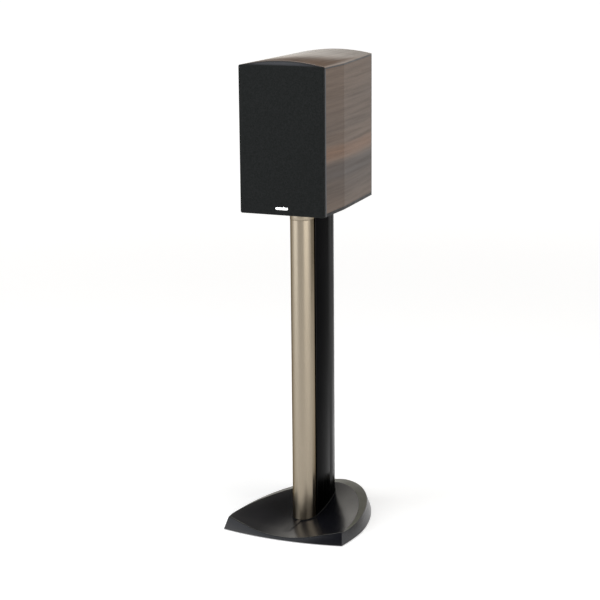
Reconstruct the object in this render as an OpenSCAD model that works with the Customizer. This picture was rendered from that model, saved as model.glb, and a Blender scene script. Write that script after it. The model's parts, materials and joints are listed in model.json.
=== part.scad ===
// Two-way bookshelf speaker bolted to its own floor stand.
// Origin: middle of the base's footprint, on the floor. +Z is up, the grille faces -Y.

/* [Cabinet] */
// Width across the front and the straight part of the sides
cab_w = 200; // [190:1:215]
// Depth from the grille's face to the back
cab_d = 318; // [310:1:330]
// Height of the side walls, from the underside to the top's side edge
cab_side_h = 322.5; // [320:0.5:326]
// Rise of the arched top above its side edges
top_rise = 12; // [8:1:14]
// Length of the straight part of each side, from the grille's face
side_straight = 115; // [100:5:140]
// Inward lean of each side behind its crease, in degrees
side_taper = 4.43; // [3:0.01:5]
// Thickness of the side walls
wall_t = 15; // [14:0.5:16]
// Height of the dark band that the bottom panel shows
plinth_h = 6.9; // [4:0.1:7]
// Thickness of the dark reveal sheet under the top panel
trim_t = 2.8; // [2:0.1:3.4]
// Thickness of the curved top panel
skin_t = 1.4; // [1:0.1:2]

/* [Grille] */
// Thickness of the grille, cloth included
grille_t = 8; // [7:0.5:9]
// Thickness of the stretched cloth
cloth_t = 0.7; // [0.5:0.1:1]
// Width of the grille frame's outer bars
grille_bar = 14; // [12:0.5:14.5]
// How far the grille hangs below the cabinet
grille_drop = 1; // [0:0.1:1.5]

/* [Drivers] */
// Outer radius of the woofer's flange
woofer_r = 89; // [86:0.5:90]
// Height of the woofer's axis above the cabinet's underside
woofer_h = 104; // [102:0.5:106]
// Outer radius of the tweeter's faceplate
tweeter_r = 52; // [50:0.5:52]
// Height of the tweeter's axis above the cabinet's underside
tweeter_h = 256; // [255:0.5:258]

/* [Back] */
// Inner radius of the reflex port
port_r = 24; // [20:0.5:25]
// Length of the reflex port
port_len = 120; // [90:5:130]
// Distance between the binding posts across the panel
post_dx = 28; // [24:1:32]
// Distance between the two rows of binding posts
post_dz = 30; // [26:1:34]
// Radius of the banana plug socket in each post
banana_r = 2; // [2:0.01:2.1]

/* [Stand] */
// Height of the cabinet's underside above the floor
seat_z = 737; // [600:1:800]
// Width of the base
base_w = 307.6; // [300:0.1:320]
// Depth of the base
base_d = 400; // [396:1:410]
// Height of the rim's inner line
rim_z = 28.3; // [26:0.1:32]
// Height of the dish at its lowest
dish_z = 8.5; // [8.5:0.1:10]
// Half the width of the pillars
pillar_a = 27; // [25:0.5:28]

/* [Hidden] */
$fn = 64;

// The cabinet's planes along Y: grille face, baffle face, lip's back, and the same at the back
front_lead = 37.5;                       // how far the base stands ahead of the grille
face_y = front_lead - base_d / 2;
baffle_y = face_y + grille_t;
lip_t = 5.5;
wall_y0 = baffle_y + lip_t;
baffle_t = 18;
back_y = face_y + cab_d;
back_lip = 3;
wall_y1 = back_y - back_lip;
back_t = 18;
crease_y = face_y + side_straight;
cab_mid_y = (face_y + back_y) / 2;
// The cabinet's planes along Z
wall_z0 = seat_z + plinth_h;
inner_z0 = seat_z + 18;
inner_z1 = seat_z + 303;
edge_z = seat_z + cab_side_h;
arch_r = (cab_w * cab_w / 4 + top_rise * top_rise) / (2 * top_rise);
arch_z = edge_z + top_rise - arch_r;     // height of the arch's axis
woofer_z = seat_z + woofer_h;
tweeter_z = seat_z + tweeter_h;
gap = 0.3;                               // between pieces that move apart
fit_c = 0.05;                            // radial clearance of a screw, post or peg

// ---------- shared shapes ----------

// A cylinder along +Y from y0 to y1
module y_rod(r, y0, y1, x = 0, z = 0, fn = 64)
    translate([x, y0, z]) rotate([-90, 0, 0]) cylinder(h = y1 - y0, r = r, $fn = fn);

// A turned piece about the Y axis: its profile's x is the radius, its y runs back from y0
module y_turned(y0, x = 0, z = 0)
    translate([x, y0, z]) rotate([-90, 0, 0]) rotate_extrude($fn = 96) children();

// A plate in the XZ plane, from y0 to y1, from a flat outline whose y is up
module y_plate(y0, y1)
    translate([0, y1, 0]) rotate([90, 0, 0]) linear_extrude(height = y1 - y0) children();

// A rectangle with true round corners, centred
module round_rect(w, h, r) {
    square([w - 2 * r, h], center = true);
    square([w, h - 2 * r], center = true);
    for (sx = [-1, 1], sy = [-1, 1])
        translate([sx * (w / 2 - r), sy * (h / 2 - r)]) circle(r = r, $fn = 32);
}

// Half the cabinet's width at a depth, less an inset
function cab_half(y, inset) = cab_w / 2 - inset - max(0, y - crease_y) * tan(side_taper);

// The cabinet's plan between two depths
module cab_plan(inset, y0, y1) {
    mid = y0 < crease_y && y1 > crease_y ? crease_y : (y0 + y1) / 2;
    polygon([
        [-cab_half(y0, inset), y0], [cab_half(y0, inset), y0],
        [cab_half(mid, inset), mid], [cab_half(y1, inset), y1],
        [-cab_half(y1, inset), y1], [-cab_half(mid, inset), mid]
    ]);
}

// A block of the cabinet's plan
module cab_block(inset, y0, y1, z0, z1)
    translate([0, 0, z0]) linear_extrude(height = z1 - z0) cab_plan(inset, y0, y1);

// Everything under the arch, less a depth below it
module under_arch(depth)
    y_rod(arch_r - depth, face_y - 10, back_y + 10, 0, arch_z, 256);

// The post positions about the terminal plate's middle
terminal_z = seat_z + 78;
posts = [for (sx = [-1, 1], sz = [-1, 1]) [sx * post_dx / 2, terminal_z + sz * post_dz / 2]];

// ---------- grille ----------

grille_z0 = seat_z - grille_drop;
grille_z1 = edge_z + 1;
grille_mid = (grille_z0 + grille_z1) / 2;
grille_h = grille_z1 - grille_z0;
grille_back = baffle_y - gap;
cross_bar_z = (woofer_z + woofer_r + tweeter_z - tweeter_r) / 2;
cross_bar = 12;
peg_r = 2.5;
peg_len = 4.5;
peg_x = cab_w / 2 - 8.5;
peg_places = [for (x = [-peg_x, peg_x], z = [grille_z0 + 12, cross_bar_z, grille_z1 - 9.5]) [x, z]];
frame_x = cab_w / 2 - cloth_t - grille_bar;
frame_low = grille_z0 + cloth_t + grille_bar;
frame_high = grille_z1 - cloth_t - grille_bar;

// Two rails over the full height and three bars between them, cemented at the ends
module grille_frame() {
    bond = 0.05;
    color("#1b1b1c") {
        y_plate(face_y + cloth_t, grille_back) difference() {
            translate([0, grille_mid]) round_rect(cab_w - 2 * cloth_t, grille_h - 2 * cloth_t, 3.3);
            translate([-frame_x, grille_z0 - 1]) square([2 * frame_x, grille_h + 2]);
        }
        for (span = [[grille_z0 + cloth_t, frame_low], [frame_high, grille_z1 - cloth_t],
                     [cross_bar_z - cross_bar / 2, cross_bar_z + cross_bar / 2]])
            y_plate(face_y + cloth_t, grille_back) translate([bond - frame_x, span[0]])
                square([2 * (frame_x - bond), span[1] - span[0]]);
    }
}

module grille_cloth() {
    color("#262726") difference() {
        y_plate(face_y, grille_back) translate([0, grille_mid]) round_rect(cab_w, grille_h, 4);
        y_plate(face_y + cloth_t, grille_back + 1) translate([0, grille_mid])
            round_rect(cab_w - 2 * cloth_t, grille_h - 2 * cloth_t, 3.3);
    }
}

badge_z = seat_z + 14;
badge_w = 30;
badge_h = 6;

module grille_badge() {
    color("#d8d8d6") y_plate(face_y - 1.2, face_y) translate([0, badge_z])
        round_rect(badge_w, badge_h, 2.9);
}

module grille_pegs() {
    color("#1b1b1c") for (p = peg_places)
        y_rod(peg_r, grille_back, baffle_y + peg_len, p[0], p[1]);
}

module grille_cups() {
    color("#101010") for (p = peg_places) difference() {
        y_rod(4, baffle_y, baffle_y + peg_len + 0.6, p[0], p[1]);
        y_rod(peg_r + fit_c, baffle_y - 1, baffle_y + peg_len + 0.3, p[0], p[1]);
    }
}

// ---------- cabinet ----------

woofer_hole_r = 76;
woofer_rebate = 4;
tweeter_hole_r = 38;
tweeter_rebate = 4;
screw_r = 2;

module woofer_screw_places(r = 83.5)
    for (a = [30:60:330]) rotate([0, a, 0]) translate([r, 0, 0]) children();

module tweeter_screw_places(r = 45)
    for (a = [45:90:315]) rotate([0, a, 0]) translate([r, 0, 0]) children();

module front_baffle() {
    color("#4c4d52") difference() {
        union() {
            intersection() {
                cab_block(0, baffle_y, wall_y0, seat_z, edge_z + top_rise);
                under_arch(skin_t + trim_t);
            }
            cab_block(wall_t, wall_y0, baffle_y + baffle_t, inner_z0, inner_z1);
        }
        y_rod(woofer_hole_r, baffle_y - 1, baffle_y + 30, 0, woofer_z, 96);
        y_rod(woofer_r + gap, baffle_y - 1, baffle_y + woofer_rebate, 0, woofer_z, 96);
        y_rod(tweeter_hole_r, baffle_y - 1, baffle_y + 30, 0, tweeter_z, 96);
        y_rod(tweeter_r + gap, baffle_y - 1, baffle_y + tweeter_rebate, 0, tweeter_z, 96);
        for (p = peg_places) y_rod(4.05, baffle_y - 1, baffle_y + peg_len + 0.6, p[0], p[1]);
        translate([0, 0, woofer_z]) woofer_screw_places()
            y_rod(screw_r + fit_c, baffle_y, baffle_y + 16.5, fn = 24);
        translate([0, 0, tweeter_z]) tweeter_screw_places()
            y_rod(screw_r + fit_c, baffle_y, baffle_y + 15, fn = 24);
    }
}

module side_panel(side) {
    color("#6e5f54") intersection() {
        difference() {
            cab_block(0, wall_y0, wall_y1, wall_z0, edge_z + top_rise);
            cab_block(wall_t, wall_y0 - 1, wall_y1 + 1, wall_z0 - 1, edge_z + top_rise + 1);
        }
        under_arch(skin_t + trim_t);
        translate([side > 0 ? 10 : -cab_w, face_y, seat_z]) cube([cab_w - 10, cab_d, 400]);
    }
}

module left_side_panel() side_panel(-1);
module right_side_panel() side_panel(1);

module top_board() {
    color("#8d7a60") intersection() {
        cab_block(wall_t, wall_y0, wall_y1, inner_z1, edge_z + top_rise);
        under_arch(skin_t + trim_t);
    }
}

// A sheet that follows the arch over the whole cabinet
module arch_sheet(from_top, t) {
    intersection() {
        cab_block(0, baffle_y, back_y, edge_z - 15, edge_z + top_rise + 1);
        difference() {
            under_arch(from_top);
            under_arch(from_top + t);
        }
    }
}

module top_trim() color("#454547") arch_sheet(skin_t, trim_t);
module top_panel() color("#8f7f6b") arch_sheet(0, skin_t);

// The bolt holes between stand and cabinet
bolt_dx = 110;
bolt_dy = 140;
bolt_places = [for (sx = [-1, 1], sy = [-1, 1]) [sx * bolt_dx / 2, cab_mid_y + sy * bolt_dy / 2]];
bolt_r = 3;
insert_r = 5;
insert_z1 = seat_z + 14;

module bottom_panel() {
    color("#1d1d1f") difference() {
        union() {
            cab_block(0, wall_y0, wall_y1, seat_z, wall_z0);
            cab_block(wall_t, wall_y0, wall_y1, wall_z0, inner_z0);
        }
        for (p = bolt_places) translate([p[0], p[1], seat_z - 1])
            cylinder(h = insert_z1 + 1 - seat_z, r = insert_r + fit_c);
    }
}

port_z = seat_z + 240;
port_wall = 2.5;

module back_panel() {
    color("#1a1a1b") difference() {
        union() {
            intersection() {
                cab_block(0, wall_y1, back_y, seat_z, edge_z + top_rise);
                under_arch(skin_t + trim_t);
            }
            cab_block(wall_t, back_y - back_t, wall_y1, inner_z0, inner_z1);
        }
        y_rod(port_r + port_wall + 0.2, back_y - 30, back_y + 1, 0, port_z);
        for (p = posts) y_rod(7, back_y - 30, back_y + 1, p[0], p[1]);
        terminal_screw_places() y_rod(1.6 + fit_c, back_y - 11, back_y + 1, fn = 24);
    }
}

brace_t = 12;
brace_z = cross_bar_z - brace_t / 2;

module cabinet_brace() {
    color("#b49a72") difference() {
        cab_block(wall_t, baffle_y + baffle_t, back_y - back_t, brace_z, brace_z + brace_t);
        for (sx = [-1, 1], k = [0, 1, 2]) translate([sx * 34, -88 + k * 82, brace_z - 1])
            linear_extrude(height = brace_t + 2) round_rect(46, 66, 12);
    }
}

module damping_pads() {
    pad_t = 10;
    color("#d9d6cf") for (sx = [-1, 1]) translate([0, 0, inner_z0 + 12])
        linear_extrude(height = brace_z - inner_z0 - 24) polygon([
            [sx * cab_half(-100, wall_t), -100], [sx * cab_half(crease_y, wall_t), crease_y],
            [sx * cab_half(-8, wall_t), -8], [sx * cab_half(-8, wall_t + pad_t), -8],
            [sx * cab_half(crease_y, wall_t + pad_t), crease_y],
            [sx * cab_half(-100, wall_t + pad_t), -100]
        ]);
}

// ---------- woofer: profiles run back from the baffle's face ----------

seat_r = 78;                             // inner edge of the flange's raised rim
basket_back = 63;
basket_ribs = 6;

module woofer_basket() {
    color("#9a9c9f") difference() {
        union() {
            y_turned(baffle_y, 0, woofer_z) polygon([
                [70, 2], [seat_r, 2], [seat_r, 0], [woofer_r, 0], [woofer_r, 4],
                [75.6, 4], [75.6, 8], [70, 8]
            ]);
            y_turned(baffle_y, 0, woofer_z) polygon([
                [50, 36], [54, 36], [54, basket_back], [26, basket_back], [26, 58], [50, 58]
            ]);
            for (k = [0:basket_ribs - 1]) translate([0, baffle_y, woofer_z])
                rotate([0, k * 360 / basket_ribs, 0]) translate([0, 0, -4])
                    linear_extrude(height = 8)
                        polygon([[70.5, 5], [75.2, 5], [75.2, 9], [53.5, 44], [50.5, 44], [50.5, 37], [53.7, 37],
                            [53.7, 33]]);
        }
        translate([0, 0, woofer_z]) woofer_screw_places() {
            y_rod(screw_r + 0.3, baffle_y - 1, baffle_y + 5, fn = 24);
            y_rod(4.2, baffle_y - 1, baffle_y + 2.2, fn = 32);
        }
    }
}

roll_r = 6.4;                            // radius of the surround's half roll
roll_mid = 68;
rubber_t = 0.8;

module woofer_surround() {
    color("#151515") y_turned(baffle_y, 0, woofer_z) difference() {
        union() {
            translate([roll_mid, 2]) circle(r = roll_r, $fn = 48);
            translate([58.5, 2 - rubber_t]) square([77.5 - 58.5, rubber_t]);
        }
        translate([roll_mid, 2]) circle(r = roll_r - rubber_t, $fn = 48);
        translate([50, 2]) square([40, 20]);
    }
}

cone_neck_r = 13.1;
cone_neck_v = 24;

module woofer_cone() {
    color("#3c3d40") y_turned(baffle_y, 0, woofer_z) polygon([
        [61.3, 2.1], [61.3, 2.9], [58, 2.9], [cone_neck_r, cone_neck_v + 0.9],
        [cone_neck_r, cone_neck_v], [57.5, 2.1]
    ]);
}

module woofer_dust_cap() {
    cap_r = 17;
    cap_depth = 7;
    bend = (cap_r * cap_r + cap_depth * cap_depth) / (2 * cap_depth);
    color("#2c2d30") y_turned(baffle_y, 0, woofer_z) intersection() {
        difference() {
            translate([0, 21.6 - cap_depth + bend]) circle(r = bend, $fn = 96);
            translate([0, 21.6 - cap_depth + bend]) circle(r = bend - 0.6, $fn = 96);
        }
        square([cap_r, 21.6]);
    }
}

spider_waves = 4;
spider_v = 36;

module woofer_spider() {
    r0 = cone_neck_r + 0.05;
    r1 = 50;
    n = 48;
    land = [[51, spider_v - 0.5], [53.5, spider_v - 0.5]];
    top = concat([for (i = [0:n]) let (u = i / n)
        [r0 + (r1 - r0) * u, spider_v - 1.4 - 1.2 * sin(360 * spider_waves * u)]], land);
    low = [for (i = [len(top) - 1:-1:0]) [top[i][0], top[i][1] + 0.45]];
    color("#b8934a") y_turned(baffle_y, 0, woofer_z) polygon(concat(top, low));
}

coil_r0 = 12.6;
module woofer_coil() {
    color("#b4713a") y_turned(baffle_y, 0, woofer_z) polygon([
        [coil_r0, cone_neck_v], [13, cone_neck_v], [13, 58], [13.8, 58], [13.8, 70], [coil_r0, 70]
    ]);
}

module woofer_top_plate() {
    color("#8f9296") y_turned(baffle_y, 0, woofer_z)
        polygon([[14.4, basket_back], [48, basket_back], [48, 69], [14.4, 69]]);
}

module woofer_magnet() {
    color("#2f3033") y_turned(baffle_y, 0, woofer_z)
        polygon([[26, 69], [50, 69], [50, 87], [26, 87]]);
}

module woofer_yoke() {
    color("#8f9296") y_turned(baffle_y, 0, woofer_z) polygon([
        [4, 62], [12, 62], [12, 87], [46, 87], [46, 91], [44, 93], [4, 93]
    ]);
}

// A socket cap screw along +Y: head from v0, shank to v1
module cap_screw(head_r, head_h, shank_r, v0, v1) {
    difference() {
        union() {
            y_rod(head_r, baffle_y + v0, baffle_y + v0 + head_h, fn = 32);
            y_rod(shank_r, baffle_y + v0, baffle_y + v1, fn = 24);
        }
        translate([0, baffle_y + v0 - 1, 0]) rotate([-90, 0, 0]) cylinder(h = 2.2, r = 1.7, $fn = 6);
    }
}

module woofer_screws() {
    color("#121212") translate([0, 0, woofer_z]) woofer_screw_places()
        cap_screw(4, 2.2, screw_r, 0, 16);
}

// ---------- tweeter ----------

module tweeter_faceplate() {
    color("#2a2b2e") difference() {
        y_turned(baffle_y, 0, tweeter_z) polygon([
            [15.4, 2.6], [22, 1.8], [34, 0], [tweeter_r, 0], [tweeter_r, tweeter_rebate],
            [15.4, tweeter_rebate]
        ]);
        translate([0, 0, tweeter_z]) tweeter_screw_places() {
            y_rod(screw_r + 0.2, baffle_y - 1, baffle_y + 5, fn = 24);
            y_rod(3.7, baffle_y - 1, baffle_y + 2, fn = 32);
        }
    }
}

module tweeter_surround() {
    color("#101010") y_turned(baffle_y, 0, tweeter_z) difference() {
        union() {
            translate([14, 3.9]) circle(r = 1.2, $fn = 32);
            translate([12.75, 3.6]) square([5, 0.35]);
        }
        translate([14, 3.95]) circle(r = 0.85, $fn = 32);
        translate([10, 3.95]) square([10, 3]);
        translate([15.35, 0]) square([5, 4]);
    }
}

module tweeter_dome() {
    rim_r = 12.6;
    height = 5.6;
    bend = (rim_r * rim_r + height * height) / (2 * height);
    color("#c9cacc") y_turned(baffle_y, 0, tweeter_z) intersection() {
        difference() {
            translate([0, 3.6 - height + bend]) circle(r = bend, $fn = 96);
            translate([0, 3.6 - height + bend]) circle(r = bend - 0.35, $fn = 96);
        }
        translate([0, 3.6 - height]) square([rim_r, height]);
    }
}

module tweeter_coil() {
    color("#b4713a") y_turned(baffle_y, 0, tweeter_z)
        polygon([[12.05, 3.6], [12.45, 3.6], [12.45, 9], [12.05, 9]]);
}

module tweeter_top_plate() {
    color("#8f9296") y_turned(baffle_y, 0, tweeter_z)
        polygon([[13, 4.7], [31, 4.7], [31, 8.7], [13, 8.7]]);
}

module tweeter_magnet() {
    color("#2f3033") y_turned(baffle_y, 0, tweeter_z)
        polygon([[17, 8.7], [33, 8.7], [33, 18.7], [17, 18.7]]);
}

module tweeter_yoke() {
    color("#8f9296") y_turned(baffle_y, 0, tweeter_z)
        polygon([[3, 5], [11.5, 5], [11.5, 18.7], [31, 18.7], [31, 22.7], [3, 22.7]]);
}

module tweeter_rear_cup() {
    color("#17181a") y_turned(baffle_y, 0, tweeter_z) polygon([
        [27, 22.7], [29.5, 22.7], [29.5, 42], [27.5, 44], [0, 44], [0, 41.5], [27, 41.5]
    ]);
}

module tweeter_screws() {
    color("#121212") translate([0, 0, tweeter_z]) tweeter_screw_places()
        cap_screw(3.5, 1.9, screw_r, 0, 14.5);
}

// ---------- back: port, terminals, crossover ----------

module port_tube() {
    flare = 7;
    y_in = back_y - port_len;
    mouth = [for (a = [0:10:90]) [port_r + flare * (1 - sin(a)), port_len + 2 - flare + flare * cos(a)]];
    color("#141415") y_turned(y_in, 0, port_z) polygon(concat(
        [[port_r, 0], [port_r + port_wall, 0], [port_r + port_wall, port_len],
         [port_r + flare + 3, port_len], [port_r + flare + 3, port_len + 1.4],
         [port_r + flare + 2.4, port_len + 2]],
        mouth
    ));
}

plate_w = 104;
plate_h = 84;
plate_t = 3;
post_r = 3.5;
collar_y = back_y + plate_t;
collar_t = 2.5;
jumper_y = collar_y + 6.4;
cap_y0 = collar_y + 7.9;
cap_len = 17.5;
post_end = cap_y0 + cap_len - 0.8;
post_start = back_y - 26;

module terminal_screw_places()
    for (sx = [-1, 1], sz = [-1, 1])
        translate([sx * (plate_w / 2 - 8), 0, terminal_z + sz * (plate_h / 2 - 8)]) children();

module terminal_plate() {
    color("#161617") difference() {
        y_plate(back_y, collar_y) translate([0, terminal_z]) round_rect(plate_w, plate_h, 8);
        for (p = posts) y_rod(post_r + fit_c, back_y - 1, collar_y + 1, p[0], p[1]);
        terminal_screw_places() {
            y_rod(1.9, back_y - 1, collar_y + 1, fn = 24);
            y_rod(3.3, collar_y - 1.4, collar_y + 1, fn = 32);
        }
    }
}

module terminal_screws() {
    color("#1c1c1e") terminal_screw_places() {
        y_rod(3.1, collar_y - 1.4, collar_y + 0.8, fn = 32);
        y_rod(1.6, back_y - 10.5, collar_y - 1.4, fn = 24);
    }
}

// Each post: a threaded stud with an insulating collar, a wire hole and a plug socket
module binding_posts() {
    wire_hole_y = collar_y + collar_t + 1.9;
    color("#c8a24a") for (p = posts) difference() {
        union() {
            y_rod(post_r, post_start, post_end, p[0], p[1]);
            y_rod(8, collar_y, collar_y + collar_t, p[0], p[1]);
            y_rod(6.5, back_y - 5, back_y, p[0], p[1], 6);
        }
        y_rod(banana_r, post_end - 16, post_end + 1, p[0], p[1]);
        translate([p[0], wire_hole_y, p[1] - 10]) cylinder(h = 20, r = 1.4, $fn = 24);
    }
}

module post_jumpers() {
    color("#c8a24a") for (sx = [-1, 1]) difference() {
        y_plate(jumper_y, jumper_y + 1.2) translate([sx * post_dx / 2, terminal_z])
            round_rect(11, post_dz + 11, 5.4);
        for (p = posts) y_rod(post_r + fit_c, jumper_y - 1, jumper_y + 3, p[0], p[1]);
    }
}

// A knurled nut that turns on its post
module post_cap(k, tint) {
    p = posts[k];
    flutes = 12;
    color(tint) difference() {
        union() {
            y_rod(6.6, cap_y0, cap_y0 + 2, p[0], p[1]);
            y_rod(7.6, cap_y0 + 2, cap_y0 + cap_len, p[0], p[1]);
        }
        y_rod(post_r + fit_c, cap_y0 - 1, cap_y0 + cap_len + 1, p[0], p[1]);
        for (f = [0:flutes - 1]) translate([p[0], 0, p[1]]) rotate([0, f * 360 / flutes, 0])
            y_rod(1, cap_y0 + 3.5, cap_y0 + cap_len + 1, 7.9, 0, 16);
    }
}

module post_cap_1() post_cap(0, "#161616");
module post_cap_2() post_cap(1, "#161616");
module post_cap_3() post_cap(2, "#8e1b1b");
module post_cap_4() post_cap(3, "#8e1b1b");

board_y = 62;
board_w = 116;
board_d = 104;
board_z = inner_z0 + 6;
board_t = 1.6;
parts_z = board_z + board_t;

module crossover_board() {
    color("#2b5a3a") {
        translate([-board_w / 2, board_y - board_d / 2, board_z]) cube([board_w, board_d, board_t]);
        for (sx = [-1, 1], sy = [-1, 1])
            translate([sx * (board_w / 2 - 6), board_y + sy * (board_d / 2 - 6), inner_z0])
                cylinder(h = board_z - inner_z0, r = 3.5);
    }
}

module crossover_coils() {
    color("#b4713a") for (p = [[-30, 38], [30, 88]]) translate([p[0], p[1], parts_z])
        rotate_extrude() translate([9, 0]) square([13, 18]);
}

module crossover_capacitors() {
    color("#d9a441") for (k = [0:2]) translate([10 + k * 18, 30, parts_z + 8])
        rotate([-90, 0, 0]) cylinder(h = 32, r = 8);
}

module crossover_resistors() {
    color("#e6e2d6") for (k = [0:1]) translate([-50, 70 + k * 18, parts_z]) cube([48, 10, 9]);
}

// A tube of eight sides along a smooth curve through the given points
function curve_at(p, s) = let (
    n = len(p) - 1, i = min(n - 1, floor(s)), u = s - i,
    a = p[max(0, i - 1)], b = p[i], c = p[i + 1], d = p[min(n, i + 2)]
) 0.5 * (2 * b + (c - a) * u + (2 * a - 5 * b + 4 * c - d) * u * u
    + (3 * b - a - 3 * c + d) * u * u * u);
function unit(v) = v / norm(v);

module lead(points, r) {
    steps = 4 * (len(points) - 1);
    sides = 8;
    path = [for (i = [0:steps]) curve_at(points, i / 4)];
    rings = [for (i = [0:steps]) let (
        t = unit(path[min(steps, i + 1)] - path[max(0, i - 1)]),
        e1 = unit(cross(t, [1, 0.11, 0.07])), e2 = cross(t, e1)
    ) for (k = [0:sides - 1]) path[i] + r * (cos(k * 45) * e1 + sin(k * 45) * e2)];
    polyhedron(rings, concat(
        [[for (k = [0:sides - 1]) k]],
        [[for (k = [sides - 1:-1:0]) steps * sides + k]],
        [for (i = [0:steps - 1], k = [0:sides - 1]) let (j = (k + 1) % sides)
            [i * sides + k, (i + 1) * sides + k, (i + 1) * sides + j, i * sides + j]]
    ));
}

// One pair to each driver, from the board's front edge
module driver_leads() {
    color("#b01f1f") for (k = [0, 1]) {
        dx = k * 4;
        lead([[-20 - dx, 14, parts_z + 2], [-22 - dx, -2, 790], [-40 - dx, -30, 812],
              [-54 - dx, -62, 824], [-59 - dx, -88, 834], [-58 - dx, -104, 841]], 1.2);
        lead([[16 + dx, 14, parts_z + 2], [24 + dx, -8, 800], [40 + dx, -20, 870],
              [40 + dx, -18, 925], [36 + dx, -30, 955], [28 + dx, -66, 980],
              [20 + dx, -106, tweeter_z]], 1.2);
    }
}

// ---------- stand: joint to the cabinet ----------

plate_z1 = seat_z - 2;
plate_z0 = plate_z1 - 6;

module mount_inserts() {
    color("#c8a24a") for (p = bolt_places) translate([p[0], p[1], seat_z]) difference() {
        cylinder(h = insert_z1 - seat_z, r = insert_r);
        translate([0, 0, -1]) cylinder(h = insert_z1 - seat_z, r = bolt_r);
    }
}

module mount_bolts() {
    color("#2a2a2c") for (p = bolt_places) translate([p[0], p[1], 0]) {
        translate([0, 0, plate_z0 - 4]) cylinder(h = 4, r = 5.8, $fn = 6);
        translate([0, 0, plate_z0 - 1]) cylinder(h = seat_z + 11 - plate_z0 + 1, r = bolt_r - fit_c);
    }
}

module isolation_pads() {
    color("#151515") for (p = bolt_places) translate([p[0], p[1], plate_z1]) difference() {
        cylinder(h = seat_z - plate_z1, r = 12);
        translate([0, 0, -1]) cylinder(h = 5, r = bolt_r + 0.3);
    }
}

// The column's plan: the seam is the front pillar's back, the groove runs from it to the rear one
seam_y = -50.5;
groove_y = -41;
nose_b = 34;
tail_b = 165.5;
tail_y = seam_y + 1;
// Screws into the pillars' bosses: the first is the front pillar's
boss_ys = [seam_y - 9, -28, 20, 66];
boss_bore = 3.4;
screw_head_r = 7;
screw_head_h = 2.4;
plate_low = 2.2;                         // underside of the weight plate in the base

module top_plate() {
    color("#1b1b1c") difference() {
        translate([0, cab_mid_y, plate_z0]) linear_extrude(height = plate_z1 - plate_z0)
            round_rect(150, 190, 12);
        for (p = bolt_places) translate([p[0], p[1], plate_z0 - 1]) cylinder(h = 9, r = bolt_r + 0.3);
        for (y = boss_ys) translate([0, y, plate_z0 - 1]) {
            cylinder(h = 9, r = boss_bore + 0.2);
            translate([0, 0, 1 + plate_z1 - plate_z0 - screw_head_h]) cylinder(h = 9, r = screw_head_r + 0.3);
        }
    }
}

// The flat-headed screws that run from the top plate and the underside into the bosses
module pillar_screws() {
    shank = 32;
    color("#2a2a2c") for (y = boss_ys) {
        translate([0, y, plate_z1 - screw_head_h]) flat_screw(shank);
        translate([0, y, plate_low + screw_head_h]) mirror([0, 0, 1]) flat_screw(shank);
    }
}

module flat_screw(shank) difference() {
    union() {
        cylinder(h = screw_head_h - 0.2, r = screw_head_r);
        translate([0, 0, -shank]) cylinder(h = shank, r = boss_bore - fit_c);
    }
    translate([0, 0, 0.4]) cylinder(h = 5, r = 2.5, $fn = 6);
}

// ---------- stand: pillars ----------

// Plan of the front pillar: half an ellipse with a flat back, from its left end to its right
function nose_points(grow) = [for (t = [180:-5:0])
    [(pillar_a + grow) * cos(t), seam_y - (nose_b + grow) * sin(t)]];

// Plan of the rear pillar: the long half of a teardrop, cut off square at the front
tail_steps = 40;
function tail_side(grow, front) = let (b = tail_b + grow, start = asin((front - tail_y) / b))
    [for (i = [0:tail_steps]) let (t = start + (90 - start) * i / tail_steps)
        [(pillar_a + grow) * cos(t), tail_y + b * sin(t)]];
function tail_points(grow, front) = let (side = tail_side(grow, front))
    concat(side, [for (i = [tail_steps - 1:-1:0]) [-side[i][0], side[i][1]]]);

module nose_plan(grow) polygon(nose_points(grow));
module tail_plan(grow, front) polygon(tail_points(grow, front));

// Both pillars and the groove between them as one outline
module column_plan(grow) polygon(concat(nose_points(grow), tail_points(grow, tail_y)));

pocket_z = dish_z;
cap_z = 711.5;
extrusion_t = 2.8;
boss_r = 6.5;

module pillar_cap() {
    color("#b5a78f") difference() {
        translate([0, 0, cap_z]) linear_extrude(height = plate_z0 - cap_z) nose_plan(0.5);
        translate([0, boss_ys[0], cap_z - 1]) cylinder(h = 30, r = boss_bore + 0.2);
    }
}

module front_pillar() {
    color("#9a8f7c") translate([0, 0, pocket_z]) linear_extrude(height = cap_z - pocket_z) {
        difference() {
            nose_plan(0);
            difference() {
                nose_plan(-extrusion_t);
                translate([-40, seam_y - extrusion_t]) square([80, 10]);
                translate([0, boss_ys[0]]) circle(r = boss_r);
            }
            translate([0, boss_ys[0]]) circle(r = boss_bore);
        }
    }
}

module rear_pillar() {
    neck = 12;
    webs = [boss_ys[1], boss_ys[2], boss_ys[3]];
    color("#232326") translate([0, 0, pocket_z]) linear_extrude(height = plate_z0 - pocket_z)
        difference() {
            union() {
                difference() {
                    tail_plan(0, groove_y);
                    tail_plan(-extrusion_t, groove_y + extrusion_t);
                }
                translate([-neck, seam_y]) square([2 * neck, groove_y - seam_y]);
                for (y = webs) {
                    translate([0, y]) circle(r = boss_r);
                    intersection() {
                        translate([-40, y - 1.25]) square([80, 2.5]);
                        tail_plan(-1, groove_y);
                    }
                }
            }
            for (y = webs) translate([0, y]) circle(r = boss_bore);
        }
}

foot_collar_t = 2.4;

module foot_collar() {
    tilt = 4.6;                          // degrees, the dish's own rise towards the back
    color("#141416") difference() {
        translate([0, 0, pocket_z]) linear_extrude(height = 30) difference() {
            column_plan(foot_collar_t);
            column_plan(0.1);
        }
        translate([-60, seam_y - nose_b - 6, pocket_z + 3.4]) rotate([tilt, 0, 0])
            cube([120, 260, 60]);
    }
}

// ---------- stand: base ----------

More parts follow.
